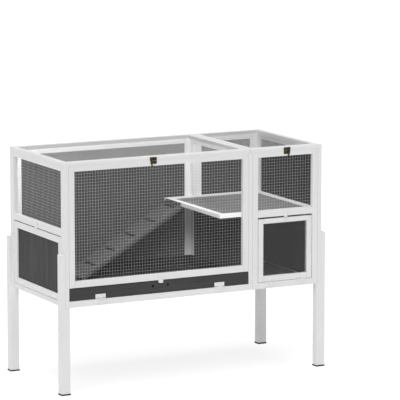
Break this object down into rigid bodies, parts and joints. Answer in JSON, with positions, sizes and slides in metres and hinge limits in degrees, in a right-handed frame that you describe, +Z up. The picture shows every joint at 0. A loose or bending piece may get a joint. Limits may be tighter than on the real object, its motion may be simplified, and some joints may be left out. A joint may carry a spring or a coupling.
{
  "type": "rabbit hutch",
  "caption": "Two-room rabbit hutch on legs with mesh windows, hinged lids, drop-down doors, a tray flap and an inside ramp.",
  "frame": {"origin": "centre of the footprint, on the plane that the foot pads stand on", "axes": "+X along the width to the sleeping room, -Y out of the front with the tray flap, +Z up"},
  "size_m": [1.263, 0.576, 0.978],
  "materials": {
    "painted_timber": "satin",
    "grey_board": "matte",
    "wire_mesh": "satin",
    "clear_pane": "gloss",
    "black_plastic": "matte",
    "foot_rubber": "matte",
    "zinc_steel": "satin",
    "dark_steel": "satin",
    "shelf_board": "matte",
    "aged_brass": "satin"
  },
  "bodies": {
    "root": {"end_left_frame": "painted_timber", "end_right_frame": "painted_timber", "divider_frame": "painted_timber", "front_left_frame": "painted_timber", "front_right_frame": "painted_timber", "front_foot_rail": "painted_timber", "back_left_frame": "painted_timber", "back_right_frame": "painted_timber", "end_left_mesh": "wire_mesh", "front_left_mesh": "wire_mesh", "front_right_mesh": "wire_mesh", "end_right_boards": "grey_board", "back_left_board": "grey_board", "back_right_board": "grey_board", "divider_board": "grey_board", "base_left": "grey_board", "base_right": "grey_board", "tray": "black_plastic", "shelf_frame": "painted_timber", "shelf_board": "shelf_board", "shelf_cleat": "painted_timber", "leg_front_left": "painted_timber", "leg_front_right": "painted_timber", "leg_back_left": "painted_timber", "leg_back_right": "painted_timber", "foot_pads": "foot_rubber", "leg_bolts": "zinc_steel", "leg_nuts": "zinc_steel", "flap_hinge_bases": "zinc_steel", "front_door_hinge_bases": "zinc_steel", "end_door_hinge_bases": "zinc_steel", "lid_hinge_bases": "zinc_steel", "ramp_hinge_bases": "dark_steel", "hinge_pins": "zinc_steel", "latch_keepers": "aged_brass", "button_screws": "zinc_steel"},
    "lid_left": {"lid_left_frame": "painted_timber", "lid_left_mesh": "wire_mesh", "lid_left_leaves": "zinc_steel", "lid_left_latch_plate": "aged_brass"},
    "hook_left": {"lid_left_hook": "aged_brass"},
    "lid_right": {"lid_right_frame": "painted_timber", "lid_right_mesh": "wire_mesh", "lid_right_leaves": "zinc_steel", "lid_right_latch_plate": "aged_brass"},
    "hook_right": {"lid_right_hook": "aged_brass"},
    "flap": {"flap_board": "grey_board", "flap_leaves": "zinc_steel"},
    "flap_button": {"flap_button": "painted_timber"},
    "front_door": {"front_door_frame": "painted_timber", "front_door_pane": "clear_pane", "front_door_leaves": "zinc_steel"},
    "front_door_button": {"front_door_button": "painted_timber"},
    "end_door": {"end_door_frame": "painted_timber", "end_door_board": "grey_board", "end_door_leaves": "zinc_steel"},
    "end_door_button": {"end_door_button": "painted_timber"},
    "ramp": {"ramp_plank": "grey_board", "ramp_rungs": "black_plastic", "ramp_leaves": "dark_steel"}
  },
  "joints": [
    {"name": "lid_left_hinge", "type": "hinge", "parent": "root", "child": "lid_left", "pos_m": [-0.174, 0.2842, 0.962], "axis": [-1, 0, 0], "range_deg": [0, 100]},
    {"name": "lid_right_hinge", "type": "hinge", "parent": "root", "child": "lid_right", "pos_m": [0.436, 0.2842, 0.962], "axis": [-1, 0, 0], "range_deg": [0, 100]},
    {"name": "hook_left_pivot", "type": "hinge", "parent": "lid_left", "child": "hook_left", "pos_m": [-0.212, -0.2825, 0.97], "axis": [0, -1, 0], "range_deg": [0, 32]},
    {"name": "hook_right_pivot", "type": "hinge", "parent": "lid_right", "child": "hook_right", "pos_m": [0.448, -0.2825, 0.97], "axis": [0, 1, 0], "range_deg": [0, 32]},
    {"name": "flap_hinge", "type": "hinge", "parent": "root", "child": "flap", "pos_m": [-0.1695, -0.2834, 0.39775], "axis": [1, 0, 0], "range_deg": [0, 175]},
    {"name": "flap_button_turn", "type": "hinge", "parent": "root", "child": "flap_button", "pos_m": [-0.1695, -0.283, 0.459], "axis": [0, 1, 0], "range_deg": [0, 180]},
    {"name": "front_door_hinge", "type": "hinge", "parent": "root", "child": "front_door", "pos_m": [0.4315, -0.2834, 0.39775], "axis": [1, 0, 0], "range_deg": [0, 175]},
    {"name": "front_door_button_turn", "type": "hinge", "parent": "root", "child": "front_door_button", "pos_m": [0.4315, -0.283, 0.686], "axis": [0, 1, 0], "range_deg": [0, 180]},
    {"name": "end_door_hinge", "type": "hinge", "parent": "root", "child": "end_door", "pos_m": [-0.6134, 0, 0.39075], "axis": [0, -1, 0], "range_deg": [0, 175]},
    {"name": "end_door_button_turn", "type": "hinge", "parent": "root", "child": "end_door_button", "pos_m": [-0.613, 0.005, 0.6765], "axis": [1, 0, 0], "range_deg": [0, 180]},
    {"name": "ramp_hinge", "type": "hinge", "parent": "root", "child": "ramp", "pos_m": [0.1196, 0.172, 0.6945], "axis": [0, 1, 0], "range_deg": [0, 55]}
  ]
}
